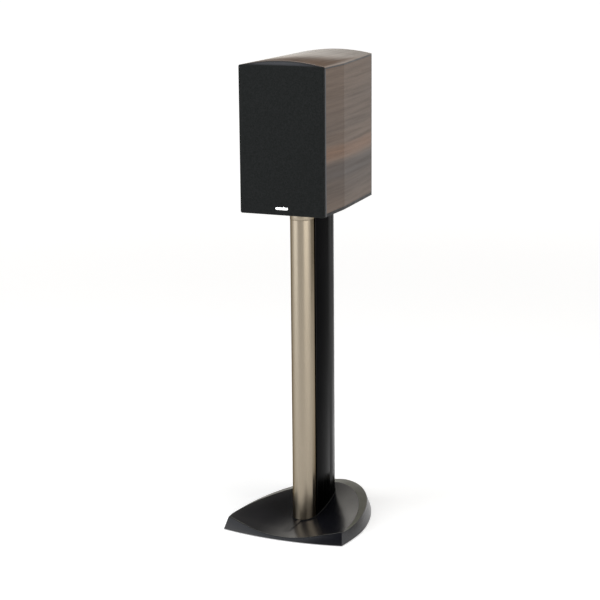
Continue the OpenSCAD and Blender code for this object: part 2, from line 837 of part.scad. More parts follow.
// A side and back line: x by a parabola from the front corner to the widest place, then a
// rounded wedge |x/w|^n + |y/l|^n = 1 to the back
corner_steps = 6;
back_steps = 26;
front_steps = 12;
function wedge_line(w, y_wide, y_back, n, xc, yc) = concat(
    [for (i = [0:corner_steps - 1]) let (u = 1 - i / corner_steps)
        [w - (w - xc) * u * u, y_wide + (yc - y_wide) * u]],
    [for (i = [0:back_steps]) let (t = 90 * i / back_steps)
        [w * pow(cos(t), 2 / n), y_wide + (y_back - y_wide) * pow(sin(t), 2 / n)]]
);

base_lift = 2;                           // the feet hold the skirt this far off the floor
front_y = -base_d / 2;
corner_x = 146.2;
corner_y = front_y + 17.8;
lean = 0.52;                             // how far the front leans back for each unit of height
front_r = (corner_x * corner_x + 17.8 * 17.8) / (2 * 17.8);
rim_low = 24.5;
top_corner = [140.2, corner_y + lean * 28];
side_in_y = -148.5;
back_in_y = 150;
in_w = 141.2;
in_n = 1.67;

// The dish's rise from its lowest line, 0, to the rim, 1
function dish_rise(s) = pow(s, 2.3) * (1 + 1.3 * (1 - s));
function dish_reach(x, y) = y < side_in_y ? abs(x) / in_w
    : pow(pow(abs(x) / in_w, in_n) + pow((y - side_in_y) / (back_in_y - side_in_y), in_n), 1 / in_n);
function dish_at(x, y) = dish_z + (rim_z - dish_z) * dish_rise(min(1, dish_reach(x, y)));

// Front lines, from the middle to the right-hand corner
function front_floor(x) = front_y + front_r - sqrt(front_r * front_r - x * x);
front_xs = [for (i = [0:front_steps - 1]) corner_x * i / front_steps];
function front_top(x) = let (z = dish_z + (rim_z - dish_z) * dish_rise(abs(x) / corner_x))
    [x * (1 - 0.041 * z / 28), front_floor(x) + lean * z, z];

// Half loops, from the middle of the front round the right side to the back
half_floor = concat(
    [for (x = front_xs) [x, front_floor(x), base_lift]],
    [for (p = wedge_line(base_w / 2, front_y + 110.5, base_d / 2, 1.68, corner_x, corner_y))
        [p[0], p[1], base_lift]]
);
half_rim = concat(
    [for (x = front_xs) front_top(x)],
    [for (p = wedge_line(142.7, -112.5, base_d / 2 - 10.5, 1.78, top_corner[0], top_corner[1]))
        [p[0], p[1], rim_low + (rim_z - rim_low) * pow(max(0, (-105 - p[1]) / 62.6), 2)]]
);
half_inner = concat(
    [for (x = front_xs) let (p = front_top(x)) [p[0] * 0.985, p[1] + 1.6, p[2] + 0.1]],
    [for (p = wedge_line(in_w, side_in_y, back_in_y, in_n, 139.2, top_corner[1] + 1.6))
        [p[0], p[1], rim_z]]
);
spine_front = -160;
spine_back = 60;
shrinks = [0.94, 0.86, 0.76, 0.66, 0.55, 0.44, 0.33, 0.22, 0.1];
function dish_point(p, s) = let (
    cy = min(spine_back, max(spine_front, p[1])),
    x = p[0] * s, y = cy + (p[1] - cy) * s
) [x, y, dish_at(x, y)];
half_loops = concat([half_floor, half_rim, half_inner],
    [for (s = shrinks) [for (p = half_inner) dish_point(p, s)]]);
half_n = len(half_floor) - 1;
loop_n = 2 * half_n;
function whole(h) = concat(h, [for (i = [half_n - 1:-1:1]) [-h[i][0], h[i][1], h[i][2]]]);
last_loop = (len(half_loops) - 1) * loop_n;

module base_body() {
    polyhedron(
        [for (h = half_loops) for (p = whole(h)) p],
        concat(
            [[for (i = [0:loop_n - 1]) i]],
            [for (k = [0:len(half_loops) - 2], i = [0:loop_n - 1]) let (
                j = (i + 1) % loop_n, a = k * loop_n, b = a + loop_n
            ) each [[a + i, b + i, b + j], [a + i, b + j, a + j]]],
            [[last_loop, last_loop + loop_n - 1, last_loop + 1]],
            [for (i = [1:half_n - 2]) let (a = last_loop + i, b = last_loop + loop_n - i)
                each [[a, b, b - 1], [a, b - 1, a + 1]]],
            [[last_loop + half_n - 1, last_loop + half_n + 1, last_loop + half_n]]
        )
    );
}

// The underside's recess and the plate in it
recess_z = 6;
module recess_plan(k)
    polygon([for (p = whole(half_floor)) [p[0] * k, (p[1] - 8) * k + 8]]);

module base_shell() {
    color("#2b2c30") difference() {
        base_body();
        translate([0, 0, base_lift - 1]) linear_extrude(height = recess_z - base_lift + 1)
            recess_plan(0.88);
        translate([0, 0, pocket_z]) linear_extrude(height = 40) column_plan(foot_collar_t + 0.05);
        for (y = boss_ys) translate([0, y, 0]) cylinder(h = 20, r = boss_bore + 0.2);
    }
}

foot_places = [[-100, -140], [100, -140], [-58, 108], [58, 108]];

module base_weight() {
    color("#3a3a3c") difference() {
        translate([0, 0, plate_low]) linear_extrude(height = recess_z - plate_low) recess_plan(0.877);
        for (y = boss_ys) translate([0, y, 0]) {
            cylinder(h = 20, r = boss_bore + 0.2);
            cylinder(h = plate_low + screw_head_h, r = screw_head_r + 0.3);
        }
        for (p = foot_places) translate([p[0], p[1], 0]) cylinder(h = 20, r = 4.05);
    }
}

module rubber_feet() {
    color("#101010") for (p = foot_places) translate([p[0], p[1], 0]) {
        cylinder(h = plate_low, r = 13);
        cylinder(h = 5.6, r = 4);
    }
}

grille_frame();
grille_cloth();
grille_badge();
grille_pegs();
grille_cups();
front_baffle();
left_side_panel();
right_side_panel();
top_board();
top_trim();
top_panel();
bottom_panel();
back_panel();
cabinet_brace();
damping_pads();
woofer_basket();
woofer_surround();
woofer_cone();
woofer_dust_cap();
woofer_spider();
woofer_coil();
woofer_top_plate();
woofer_magnet();
woofer_yoke();
woofer_screws();
tweeter_faceplate();
tweeter_surround();
tweeter_dome();
tweeter_coil();
tweeter_top_plate();
tweeter_magnet();
tweeter_yoke();
tweeter_rear_cup();
tweeter_screws();
port_tube();
crossover_board();
crossover_coils();
crossover_capacitors();
crossover_resistors();
driver_leads();
terminal_plate();
terminal_screws();
binding_posts();
post_jumpers();
post_cap_1();
post_cap_2();
post_cap_3();
post_cap_4();
mount_inserts();
mount_bolts();
isolation_pads();
top_plate();
pillar_cap();
front_pillar();
rear_pillar();
pillar_screws();
foot_collar();
base_shell();
base_weight();
rubber_feet();
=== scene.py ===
"""Looks of a two-way bookshelf speaker on its floor stand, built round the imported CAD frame.

Everything is in metres, +Z up, the grille faces -Y. Sizes come from the frame's own nodes.
"""

import json
import math

import bmesh
import bpy
from mathutils import Matrix, Vector


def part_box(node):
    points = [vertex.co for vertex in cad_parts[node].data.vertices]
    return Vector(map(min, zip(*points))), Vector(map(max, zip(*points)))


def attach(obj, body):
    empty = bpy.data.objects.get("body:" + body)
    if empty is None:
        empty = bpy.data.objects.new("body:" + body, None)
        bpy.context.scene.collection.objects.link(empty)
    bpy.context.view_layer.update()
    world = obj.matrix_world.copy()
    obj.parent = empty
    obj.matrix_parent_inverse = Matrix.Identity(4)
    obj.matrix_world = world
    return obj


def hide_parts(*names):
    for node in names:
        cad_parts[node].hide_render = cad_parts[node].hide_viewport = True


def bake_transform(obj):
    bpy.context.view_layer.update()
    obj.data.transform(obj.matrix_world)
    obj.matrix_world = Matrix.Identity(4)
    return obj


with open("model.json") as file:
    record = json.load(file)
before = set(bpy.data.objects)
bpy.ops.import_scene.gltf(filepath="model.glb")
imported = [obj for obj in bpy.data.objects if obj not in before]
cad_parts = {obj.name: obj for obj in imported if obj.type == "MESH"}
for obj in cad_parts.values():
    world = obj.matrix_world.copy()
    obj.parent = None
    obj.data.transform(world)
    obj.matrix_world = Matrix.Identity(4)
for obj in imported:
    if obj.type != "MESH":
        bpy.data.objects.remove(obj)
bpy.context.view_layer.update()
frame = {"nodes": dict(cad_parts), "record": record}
nodes = frame["nodes"]

MM = 0.001
ROOT = "stand_and_cabinet"
GRILLE = "grille"

# ---------- camera ----------

CAMERA_PLACE = (1.5760, -3.6245, 1.4161)
CAMERA_AZIMUTH = 23.909
CAMERA_ELEVATION = 12.867
CAMERA_ROLL = -0.53
CAMERA_LENS = 106.45
CAMERA_SENSOR = 36


def make_camera():
    a, e, r = (math.radians(x) for x in (CAMERA_AZIMUTH, CAMERA_ELEVATION, CAMERA_ROLL))
    right = Vector((math.cos(a), math.sin(a), 0))
    back = Vector((math.sin(a) * math.cos(e), -math.cos(a) * math.cos(e), math.sin(e)))
    up = back.cross(right)
    rolled_right = math.cos(r) * right + math.sin(r) * up
    rolled_up = math.cos(r) * up - math.sin(r) * right
    data = bpy.data.cameras.new("camera")
    data.lens = CAMERA_LENS
    data.sensor_width = CAMERA_SENSOR
    data.clip_end = 200
    camera = bpy.data.objects.new("camera", data)
    turn = Matrix((rolled_right, rolled_up, back)).transposed().to_4x4()
    camera.matrix_world = Matrix.Translation(CAMERA_PLACE) @ turn
    bpy.context.scene.collection.objects.link(camera)
    bpy.context.scene.camera = camera


# ---------- material building blocks ----------


class Nodes:
    """A material being built: short calls that add nodes and join them."""

    def __init__(self, name):
        self.material = bpy.data.materials.new(name)
        self.material.use_nodes = True
        self.tree = self.material.node_tree
        self.shader = self.tree.nodes["Principled BSDF"]

    def add(self, kind, inputs=(), **settings):
        node = self.tree.nodes.new(kind)
        for key, value in settings.items():
            setattr(node, key, value)
        for key, value in dict(inputs).items():
            if isinstance(value, bpy.types.NodeSocket):
                self.tree.links.new(value, node.inputs[key])
            else:
                node.inputs[key].default_value = value
        return node

    def place(self, scale=(1, 1, 1)):
        """Object coordinates, stretched by a scale along each axis."""
        where = self.add("ShaderNodeTexCoord").outputs["Object"]
        return self.add("ShaderNodeMapping", {"Vector": where, "Scale": scale}).outputs["Vector"]

    def noise(self, scale, detail, rough=0.5, stretch=(1, 1, 1), vector=None):
        return self.add("ShaderNodeTexNoise", {
            "Vector": vector or self.place(stretch), "Scale": scale, "Detail": detail, "Roughness": rough,
        }).outputs["Fac"]

    def ramp(self, factor, stops):
        """Colours along a factor from 0 to 1, as (place, colour) stops."""
        node = self.add("ShaderNodeValToRGB", {"Fac": factor})
        elements = node.color_ramp.elements
        while len(elements) < len(stops):
            elements.new(0.5)
        for element, (place, color) in zip(elements, stops):
            element.position = place
            element.color = (*color, 1)
        return node.outputs["Color"]

    def remap(self, value, low, high, from_low=0.0, from_high=1.0):
        """A value that runs from low to high, clamped, as the given one runs over its own range."""
        return self.add("ShaderNodeMapRange", {
            "Value": value, "From Min": from_low, "From Max": from_high,
            "To Min": low, "To Max": high,
        }).outputs["Result"]

    def math(self, operation, a, b=0.0):
        return self.add("ShaderNodeMath", {0: a, 1: b}, operation=operation).outputs["Value"]

    def mix(self, factor, a, b):
        """A blend from colour a to colour b."""
        node = self.add("ShaderNodeMix", data_type="RGBA")
        for key, value in (("Factor", factor), ("A", a), ("B", b)):
            socket = [s for s in node.inputs if s.name == key and s.enabled][0]
            if isinstance(value, bpy.types.NodeSocket):
                self.tree.links.new(value, socket)
            else:
                socket.default_value = value if key == "Factor" else (*value, 1)
        return [s for s in node.outputs if s.enabled][0]

    def bump(self, height, strength, distance):
        inputs = {"Height": height, "Strength": strength, "Distance": distance}
        return self.add("ShaderNodeBump", inputs).outputs["Normal"]

    def set(self, **values):
        """Sets the shader's sockets: metallic=1, base_color=..., coat_weight=0.5."""
        for key, value in values.items():
            socket = self.shader.inputs[key.replace("_", " ").title().replace("Ior", "IOR")]
            if isinstance(value, bpy.types.NodeSocket):
                self.tree.links.new(value, socket)
            elif isinstance(value, tuple):
                socket.default_value = (*value, 1)
            else:
                socket.default_value = value


def shaded(color, share):
    """A colour made darker or lighter by a factor."""
    return tuple(min(1.0, c * share) for c in color)


def plain_finish(name, color, rough, grain, bump=0.1, **more):
    """A moulded, painted or cast surface: mottled colour, uneven gloss and a fine grain."""
    m = Nodes(name)
    mottle = m.noise(35, 4)
    fine = m.noise(grain, 2)
    m.set(
        base_color=m.mix(mottle, shaded(color, 0.88), shaded(color, 1.12)),
        roughness=m.remap(mottle, rough - 0.06, rough + 0.06, 0.3, 0.7),
        normal=m.bump(fine, bump, 0.05 * MM), **more,
    )
    return m.material


def grille_fabric():
    """Black knit: fine ribs both ways, with slightly uneven stitches."""
    m = Nodes("grille_fabric")
    pitch = 2 * math.pi / (1.1 * MM)
    split = m.add("ShaderNodeSeparateXYZ", {"Vector": m.place()})
    across = m.math("ADD", split.outputs["X"], split.outputs["Y"])
    wave_x = m.math("SINE", m.math("MULTIPLY", across, pitch))
    wave_z = m.math("SINE", m.math("MULTIPLY", split.outputs["Z"], pitch))
    weave = m.math("MULTIPLY", wave_x, wave_z)
    threads = m.noise(900, 2, stretch=(1, 1, 0.25))
    mottle = m.noise(330, 3)
    height = m.math("ADD", weave, m.math("MULTIPLY", threads, 0.6))
    color = m.mix(m.remap(weave, 0, 1, -1, 1), (0.0052, 0.0062, 0.0060), (0.0115, 0.0132, 0.0130))
    m.set(
        base_color=m.mix(m.remap(mottle, 0, 0.6, 0.35, 0.7), color, (0.017, 0.018, 0.019)),
        roughness=m.remap(threads, 0.8, 0.95), normal=m.bump(height, 0.5, 0.12 * MM),
        sheen_weight=0.03, sheen_roughness=0.5, specular_ior_level=0.08,
    )
    return m.material


RED_BAND_Z, DARK_BAND_Z = 0.873, 0.832


def walnut_veneer(name, gloss, level, painted_lightness, axis):
    """Walnut with its grain along Y: broad patches, a red band over a dark one, fine lines and pores.

    The lines lie side by side along the given axis. Every colour is scaled by one lightness factor; above 1
    it paints a lighter copy of the wood, painted light for a surface that catches more light.
    """
    m = Nodes(name)
    split = m.add("ShaderNodeSeparateXYZ", {"Vector": m.place()})
    drift = m.noise(4.0, 2, stretch=(1, 0.35, 1))
    along = m.math("ADD", split.outputs[axis], m.math("MULTIPLY", drift, 0.02))
    lines = m.add("ShaderNodeCombineXYZ", {
        "X": along, "Y": m.math("MULTIPLY", split.outputs["Y"], 0.03),
    }).outputs["Vector"]
    patches = m.noise(13, 2, 0.45, vector=lines)
    figure = m.noise(110, 4, 0.55, vector=lines)
    pores = m.noise(900, 2, 0.6, vector=m.place((1, 0.03, 1)))
    broad = m.ramp(patches, [(place, shaded(color, painted_lightness)) for place, color in (
        (0.30, (0.058, 0.042, 0.033)), (0.45, (0.080, 0.056, 0.042)),
        (0.55, (0.098, 0.067, 0.048)), (0.68, (0.112, 0.078, 0.058)),
    )])
    wander = m.math("MULTIPLY", m.math("SUBTRACT", drift, 0.5), 0.05)
    level_z = m.math("ADD", split.outputs["Z"], wander)
    from_red = m.math("ABSOLUTE", m.math("SUBTRACT", level_z, RED_BAND_Z))
    from_dark = m.math("ABSOLUTE", m.math("SUBTRACT", level_z, DARK_BAND_Z))
    red = m.remap(from_red, 0.8, 0.0, 0.006, 0.020)
    dark = m.remap(from_dark, 0.8, 0.0, 0.012, 0.026)
    banded = m.mix(red, broad, shaded((0.150, 0.082, 0.048), painted_lightness))
    banded = m.mix(dark, banded, shaded((0.046, 0.036, 0.032), painted_lightness))
    streaked = m.mix(m.remap(figure, 0.0, 0.38, 0.42, 0.68), banded, shaded((0.034, 0.025, 0.020), painted_lightness))
    color = m.mix(m.remap(pores, 0, 0.4, 0.55, 0.75), streaked, shaded((0.022, 0.016, 0.013), painted_lightness))
    m.set(
        base_color=color, roughness=m.remap(figure, 0.34, 0.46, 0.3, 0.7),
        normal=m.bump(pores, 0.03, 0.03 * MM),
        coat_weight=gloss, coat_roughness=0.12, coat_ior=1.5, specular_ior_level=level,
    )
    return m.material


def raw_board():
    """Fibreboard: tan with pressed flecks."""
    m = Nodes("fibreboard")
    flecks = m.noise(420, 4, 0.65)
    m.set(
        base_color=m.ramp(flecks, [(0.3, (0.22, 0.145, 0.085)), (0.7, (0.42, 0.30, 0.19))]),
        roughness=0.85, normal=m.bump(flecks, 0.3, 0.1 * MM),
    )
    return m.material


ALONG_X, ALONG_Z = (0.01, 1, 1), (1, 1, 0.004)


def drawn_metal(name, color, rough, stretch=ALONG_Z, strength=0.06, **more):
    """Extruded or rolled metal: fine lines along one axis over a satin ground."""
    m = Nodes(name)
    lines = m.noise(1400, 2, 0.6, stretch=stretch)
    cloud = m.noise(14, 3)
    m.set(
        metallic=1.0,
        base_color=m.mix(m.remap(lines, 0.2, 0.8, 0.3, 0.7), shaded(color, 0.92), shaded(color, 1.06)),
        roughness=m.math("ADD", m.remap(lines, rough - 0.04, rough + 0.04, 0.3, 0.7),
                         m.remap(cloud, -0.03, 0.03, 0.3, 0.7)),
        normal=m.bump(lines, strength, 0.02 * MM), **more,
    )
    return m.material


def turned_metal(name, color, rough, axis, pitch, depth):
    """Metal turned about an axis along Y, at (x, z): fine rings round it."""
    m = Nodes(name)
    split = m.add("ShaderNodeSeparateXYZ", {"Vector": m.place()})
    dx = m.math("SUBTRACT", split.outputs["X"], axis[0])
    dz = m.math("SUBTRACT", split.outputs["Z"], axis[1])
    radius = m.math("SQRT", m.math("ADD", m.math("MULTIPLY", dx, dx), m.math("MULTIPLY", dz, dz)))
    rings = m.math("SINE", m.math("MULTIPLY", radius, 2 * math.pi / pitch))
    cloud = m.noise(40, 3)
    m.set(
        metallic=0.85,
        base_color=m.mix(cloud, shaded(color, 0.9), shaded(color, 1.08)),
        roughness=m.remap(rings, rough - 0.04, rough + 0.04, -1, 1),
        normal=m.bump(rings, depth, 0.03 * MM),
    )
    return m.material


def copper_winding(name, axis):
    """Enamelled wire: turns side by side along one axis, with a painted highlight on each turn's crest and
    painted shade in the grooves between turns.
    """
    m = Nodes(name)
    split = m.add("ShaderNodeSeparateXYZ", {"Vector": m.place()})
    turns = m.math("SINE", m.math("MULTIPLY", split.outputs[axis], 2 * math.pi / (0.9 * MM)))
    m.set(
        metallic=1.0,
        # Colour runs from dark in the grooves to bright on the crests: painted shade and painted highlight on
        # the round wire.
        base_color=m.mix(m.remap(turns, 0, 1, -1, 1), (0.32, 0.10, 0.035), (0.78, 0.32, 0.14)),
        roughness=m.remap(turns, 0.35, 0.2, -1, 1), normal=m.bump(turns, 0.6, 0.15 * MM),
    )
    return m.material


def base_lacquer():
    """Polished black: soft orange peel and faint wipe marks."""
    m = Nodes("base_gloss")
    peel = m.noise(140, 2)
    wipes = m.noise(22, 3, 0.6, stretch=(1, 0.25, 1))
    m.set(
        base_color=m.mix(wipes, (0.0035, 0.0037, 0.0055), (0.006, 0.0063, 0.009)),
        roughness=m.remap(wipes, 0.21, 0.27, 0.3, 0.7), normal=m.bump(peel, 0.02, 0.05 * MM),
        specular_ior_level=0.3,
    )
    return m.material


# ---------- mesh building blocks ----------


def new_piece(name, verts, faces, material, body, replaces, slot, sharp, accent=None):
    """A smooth mesh, creased at its sharp angles. An accent is a second material and the faces that have it.

    A piece whose body is None is attached to no body.
    """
    mesh = bpy.data.meshes.new(name)
    mesh.from_pydata([tuple(v) for v in verts], [], faces)
    if accent:
        for i in accent[1]:
            mesh.polygons[i].material_index = 1
    bm = bmesh.new()
    bm.from_mesh(mesh)
    bmesh.ops.remove_doubles(bm, verts=bm.verts, dist=1e-7)
    bmesh.ops.recalc_face_normals(bm, faces=bm.faces)
    bm.to_mesh(mesh)
    bm.free()
    mesh.polygons.foreach_set("use_smooth", [True] * len(mesh.polygons))
    mesh.set_sharp_from_angle(angle=math.radians(sharp))
    piece = bpy.data.objects.new(name, mesh)
    bpy.context.scene.collection.objects.link(piece)
    mesh.materials.append(material)
    if accent:
        mesh.materials.append(accent[0])
    if body:
        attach(piece, body)
    if replaces:
        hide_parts(*replaces)
    return piece


def loft(loops, cyclic=False):
    """Faces between equal loops of points, each loop closed: a ring if cyclic, or else with two end caps."""
    n = len(loops[0])
    verts = [p for loop in loops for p in loop]
    faces = []
    for k in range(len(loops) if cyclic else len(loops) - 1):
        a, b = k * n, ((k + 1) % len(loops)) * n
        faces += [(a + i, a + (i + 1) % n, b + (i + 1) % n, b + i) for i in range(n)]
    if not cyclic:
        faces.append(tuple(range(n - 1, -1, -1)))
        faces.append(tuple((len(loops) - 1) * n + i for i in range(n)))
    return verts, faces


# ---------- floor and light ----------


FLOOR_HALF = 60.0
GLOW_NEAR, GLOW_FAR = (0.8, 0.46), (5.0, 0.92)
WORLD_STRENGTH = 1.35
LIGHT_AIM_Z = 0.6


def make_stage():
    """A plain pale floor, whose own glow rises with the distance from the object."""
    corners = [(x * FLOOR_HALF, y * FLOOR_HALF, 0) for x, y in ((-1, -1), (1, -1), (1, 1), (-1, 1))]
    mesh = bpy.data.meshes.new("floor")
    mesh.from_pydata(corners, [], [(0, 1, 2, 3)])
    floor = bpy.data.objects.new("floor", mesh)
    bpy.context.scene.collection.objects.link(floor)
    m = Nodes("floor_white")
    m.set(base_color=(0.86, 0.86, 0.86), roughness=0.9, specular_ior_level=0.1)
    m.shader.inputs["Emission Color"].default_value = (1, 1, 1, 1)
    away = m.add("ShaderNodeVectorMath", {0: m.place()}, operation="LENGTH").outputs["Value"]
    m.set(emission_strength=m.remap(away, GLOW_NEAR[1], GLOW_FAR[1], GLOW_NEAR[0], GLOW_FAR[0]))
    mesh.materials.append(m.material)


def softbox(name, azimuth, distance, low, high, width, power, color=(1, 1, 1)):
    """A standing softbox. Azimuth 0 is in front of the grille, positive to the right."""
    a = math.radians(azimuth)
    place = Vector((math.sin(a) * distance, -math.cos(a) * distance, (low + high) / 2))
    light = bpy.data.lights.new(name, "AREA")
    light.shape = "RECTANGLE"
    light.size = width
    light.size_y = high - low
    light.energy = power
    light.color = color
    lamp = bpy.data.objects.new(name, light)
    lamp.location = place
    lamp.rotation_mode = "QUATERNION"
    lamp.rotation_quaternion = (Vector((0, 0, LIGHT_AIM_Z)) - place).to_track_quat("-Z", "Y")
    bpy.context.scene.collection.objects.link(lamp)


def make_world():
    """A pale glow round the horizon, strongest at the back left, under a dim ceiling."""
    world = bpy.data.worlds.new("studio")
    bpy.context.scene.world = world
    world.use_nodes = True
    tree = world.node_tree
    where = tree.nodes.new("ShaderNodeTexCoord")
    split = tree.nodes.new("ShaderNodeSeparateXYZ")
    tree.links.new(where.outputs["Generated"], split.inputs["Vector"])

    def graded(axis, stops, tint):
        """A tinted level that depends on one part of the direction, from -1 to 1."""
        ramp = tree.nodes.new("ShaderNodeValToRGB")
        shift = tree.nodes.new("ShaderNodeMath")
        shift.operation = "MULTIPLY_ADD"
        shift.inputs[1].default_value = 0.5
        shift.inputs[2].default_value = 0.5
        tree.links.new(split.outputs[axis], shift.inputs[0])
        tree.links.new(shift.outputs[0], ramp.inputs["Fac"])
        elements = ramp.color_ramp.elements
        while len(elements) < len(stops):
            elements.new(0.5)
        for element, (place, level) in zip(elements, stops):
            element.position = 0.5 + 0.5 * place
            element.color = (*shaded(tint, level), 1)
        return ramp.outputs["Color"]

    height = graded("Z", [
        (0.12, 0.8), (0.22, 1.0), (0.35, 0.75), (0.46, 0.12), (0.62, 0.04), (1.0, 0.05),
    ], (1.0, 0.96, 0.89))
    side = graded("X", [
        (-0.9, 0.7), (-0.5, 1.0), (-0.43, 1.0), (-0.4, 0.8), (-0.3, 0.5), (0.6, 0.45),
    ], (1.0, 1.0, 1.0))
    both = tree.nodes.new("ShaderNodeVectorMath")
    both.operation = "MULTIPLY"
    tree.links.new(height, both.inputs[0])
    tree.links.new(side, both.inputs[1])
    tree.links.new(both.outputs[0], tree.nodes["Background"].inputs["Color"])
    tree.nodes["Background"].inputs["Strength"].default_value = WORLD_STRENGTH
    bpy.context.scene.view_settings.view_transform = "Standard"


def make_lights():
    """A wide cool box at the front left, a warmer one at the right and a dimmer one overhead."""
    softbox("softbox_left", -40, 2.3, 0.05, 2.5, 2.4, 34, (0.93, 0.96, 1.0))
    softbox("softbox_right", 76, 2.3, 0.05, 2.4, 2.0, 28, (1.0, 0.985, 0.96))
    softbox("softbox_top", 0, 0.3, 2.9, 3.3, 2.2, 50)


make_camera()
make_stage()
make_world()
make_lights()

# ---------- finishes, and those of the carried-over CAD nodes ----------


def axis_of(name):
    """The place in X and Z of a node turned about an axis along Y."""
    low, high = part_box(name)
    return (low.x + high.x) / 2, (low.z + high.z) / 2


WOOFER_X, WOOFER_Z = axis_of("woofer_cone")

FINISHES = {
    "grille_plastic": plain_finish("grille_plastic", (0.012, 0.012, 0.013), 0.55, 700),
    "grille_fabric": grille_fabric(),
    "badge_metal": drawn_metal("badge_metal", (0.86, 0.86, 0.85), 0.25, ALONG_X),
    "rubber": plain_finish("rubber", (0.006, 0.006, 0.006), 0.6, 500, specular_ior_level=0.1),
    "baffle_paint": plain_finish("baffle_paint", (0.021, 0.0225, 0.029), 0.36, 900, 0.05, coat_weight=0.1,
                                 coat_roughness=0.2, specular_ior_level=0.25),
    "walnut": walnut_veneer("walnut", 0.12, 0.08, 1.0, "Z"),
    # The top's walnut: colours 25% lighter than the sides', painted light for the top that catches more
    # light; its coat is also glossier.
    "walnut_top_lit": walnut_veneer("walnut_top_lit", 0.55, 0.35, 1.25, "X"),
    "fibreboard": raw_board(),
    "black_board": plain_finish("black_board", (0.004, 0.004, 0.0045), 0.38, 800, specular_ior_level=0.12),
    # The dark reveal strip under the top: partly a dark trim, partly painted shade standing for the shadow
    # line under the top's edge.
    "reveal_black": plain_finish("reveal_black", (0.013, 0.013, 0.0145), 0.35, 800, specular_ior_level=0.25),
    "wadding": plain_finish("wadding", (0.62, 0.60, 0.55), 0.95, 260, 0.8),
    "basket_alloy": plain_finish("basket_alloy", (0.30, 0.31, 0.32), 0.42, 600, metallic=1.0),
    "cone_alloy": turned_metal("cone_alloy", (0.28, 0.29, 0.31), 0.34, (WOOFER_X, WOOFER_Z), 1.2 * MM,
                               0.25),
    "spider_cloth": plain_finish("spider_cloth", (0.36, 0.20, 0.05), 0.85, 1200, 0.6),
    "copper": copper_winding("copper", "Y"),
    "copper_upright": copper_winding("copper_upright", "Z"),
    "plated_steel": plain_finish("plated_steel", (0.46, 0.47, 0.49), 0.34, 500, metallic=1.0),
    "weight_steel": plain_finish("weight_steel", (0.03, 0.03, 0.032), 0.5, 400, metallic=0.6),
    "ferrite": plain_finish("ferrite", (0.03, 0.03, 0.033), 0.55, 300, 0.3),
    "black_metal": plain_finish("black_metal", (0.014, 0.014, 0.015), 0.42, 700),
    "black_plastic": plain_finish("black_plastic", (0.014, 0.014, 0.015), 0.48, 800, 0.15),
    "board_green": plain_finish("board_green", (0.015, 0.10, 0.035), 0.4, 300),
    "capacitor_film": plain_finish("capacitor_film", (0.50, 0.26, 0.04), 0.3, 200),
    "resistor_cement": plain_finish("resistor_cement", (0.72, 0.70, 0.64), 0.8, 700, 0.4),
    "wire_red": plain_finish("wire_red", (0.35, 0.012, 0.012), 0.35, 300),
    "gold": plain_finish("gold", (0.80, 0.56, 0.22), 0.22, 500, 0.05, metallic=1.0),
    "cap_black": plain_finish("cap_black", (0.010, 0.010, 0.010), 0.3, 600),
    "cap_red": plain_finish("cap_red", (0.30, 0.008, 0.010), 0.3, 600),
    "champagne": drawn_metal("champagne", (0.295, 0.253, 0.195), 0.3, strength=0.004,
                             specular_tint=(0.2, 0.17, 0.13)),
    "black_anodised": drawn_metal("black_anodised", (0.013, 0.013, 0.0135), 0.24, strength=0.01,
                                  specular_tint=(0.44, 0.44, 0.44)),
    "base_gloss": base_lacquer(),
    # Lighter olive-grey for the flat rim band of the black base: a painted reflection on the glossy black
    # surface.
    "base_rim_painted_reflection": plain_finish("base_rim_painted_reflection", (0.080, 0.080, 0.062), 0.40, 500, 0.05, specular_ior_level=0.35),
    # Near-black matte for the neck at the groove's bottom: painted shade standing for the dark groove between
    # the pillars.
    "groove_painted_shade": plain_finish("groove_painted_shade", (0.0015, 0.0015, 0.0015), 0.9, 600, specular_ior_level=0.05),
    "dome_alloy": turned_metal("dome_alloy", (0.62, 0.63, 0.65), 0.22, axis_of("tweeter_dome"), 0.8 * MM,
                               0.1),
}

SLOT_OF = {s["node"]: s["material_slot"] for s in frame["record"]["subparts"]}
FINISH_OF = {"tweeter_dome": "dome_alloy", "top_panel": "walnut_top_lit", "crossover_coils": "copper_upright"}
for name, cad_node in nodes.items():
    cad_node.data.materials.clear()
    cad_node.data.materials.append(FINISHES[FINISH_OF.get(name, SLOT_OF[name])])

# ---------- grille ----------

CLOTH_LO, CLOTH_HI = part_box("grille_cloth")
FACE_Y, GRILLE_BACK = CLOTH_LO.y, CLOTH_HI.y
CLOTH_T = 0.7 * MM
CLOTH_CORNER, CLOTH_EDGE = 4 * MM, 1.8 * MM
CORNER_ARC = 6


def round_rect(w, h, r):
    """Points round a rectangle with round corners, centred, as (across, up)."""
    points = []
    for k, (sx, sy) in enumerate(((1, 1), (-1, 1), (-1, -1), (1, -1))):
        for i in range(CORNER_ARC + 1):
            a = math.radians(90 * (k + i / CORNER_ARC))
            points.append((sx * (w / 2 - r) + r * math.cos(a), sy * (h / 2 - r) + r * math.sin(a)))
    return points


def front_loop(box_lo, box_hi, inset, corner, y):
    """A rounded rectangle in the XZ plane, inset from a box's outline."""
    w, h = box_hi.x - box_lo.x - 2 * inset, box_hi.z - box_lo.z - 2 * inset
    mid_x, mid_z = (box_lo.x + box_hi.x) / 2, (box_lo.z + box_hi.z) / 2
    return [(mid_x + u, y, mid_z + v) for u, v in round_rect(w, h, max(corner - inset, 0.3 * MM))]


